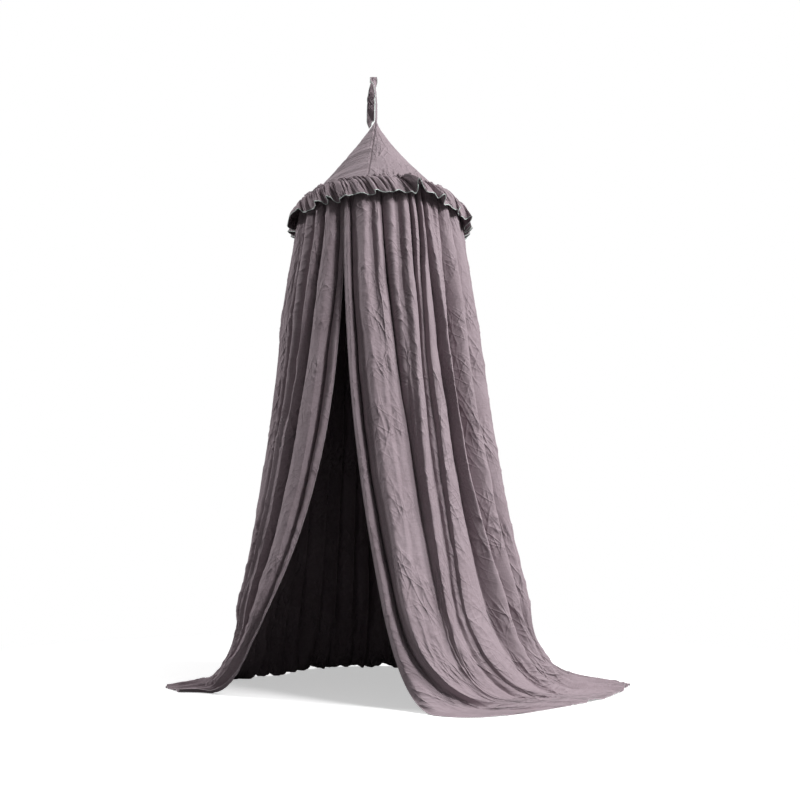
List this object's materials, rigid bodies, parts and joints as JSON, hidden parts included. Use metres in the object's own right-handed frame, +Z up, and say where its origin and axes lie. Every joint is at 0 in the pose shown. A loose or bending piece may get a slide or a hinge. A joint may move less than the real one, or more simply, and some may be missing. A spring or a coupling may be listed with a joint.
{
  "type": "hanging play canopy",
  "caption": "Hanging fabric play canopy: a cone over a round hoop, a ruffle, and a long gathered curtain that opens at the front and trails on the floor.",
  "frame": {"origin": "inside the top of the tape loop, where a ceiling hook bears", "axes": "+Z up along the canopy's height, -Y towards the viewer at the opening, +X to the viewer's right, where the longer spill of cloth lies"},
  "size_m": [1.4388, 1.0113, 2.062],
  "materials": {
    "cloth": "soft plain-weave cotton, matt",
    "channel_cloth": "plain-weave cotton lining, matt",
    "tape": "folded cotton tape, matt",
    "hoop_plastic": "satin extruded tube",
    "sleeve_plastic": "satin moulded sleeve"
  },
  "bodies": {
    "hanger": {"tape_loop": "tape"},
    "canopy": {"cone_panel_right": "cloth", "cone_panel_left": "cloth", "hoop_channel": "channel_cloth", "hoop_tube_1": "hoop_plastic", "hoop_tube_2": "hoop_plastic", "hoop_tube_3": "hoop_plastic", "hoop_tube_4": "hoop_plastic", "hoop_sleeve_1": "sleeve_plastic", "hoop_sleeve_2": "sleeve_plastic", "hoop_sleeve_3": "sleeve_plastic", "hoop_sleeve_4": "sleeve_plastic", "ruffle": "cloth", "right_heading": "cloth", "left_heading": "cloth", "back_heading": "cloth", "back_panel": "cloth"},
    "right_flap": {"right_front_panel": "cloth"},
    "left_flap": {"left_front_panel": "cloth"}
  },
  "joints": [
    {"name": "canopy_swivel", "type": "hinge", "parent": "hanger", "child": "canopy", "pos_m": [0.008, 0, -0.17], "axis": [0, 0, 1], "range_deg": [-90, 90]},
    {"name": "right_flap_swing", "type": "hinge", "parent": "canopy", "child": "right_flap", "pos_m": [0.22744, 0.16129, -0.52], "axis": [-0.0945, -0.0675, 0.9932], "range_deg": [0, 35]},
    {"name": "left_flap_swing", "type": "hinge", "parent": "canopy", "child": "left_flap", "pos_m": [-0.18544, 0.16129, -0.52], "axis": [-0.0852, 0.0792, -0.9932], "range_deg": [0, 35]}
  ]
}
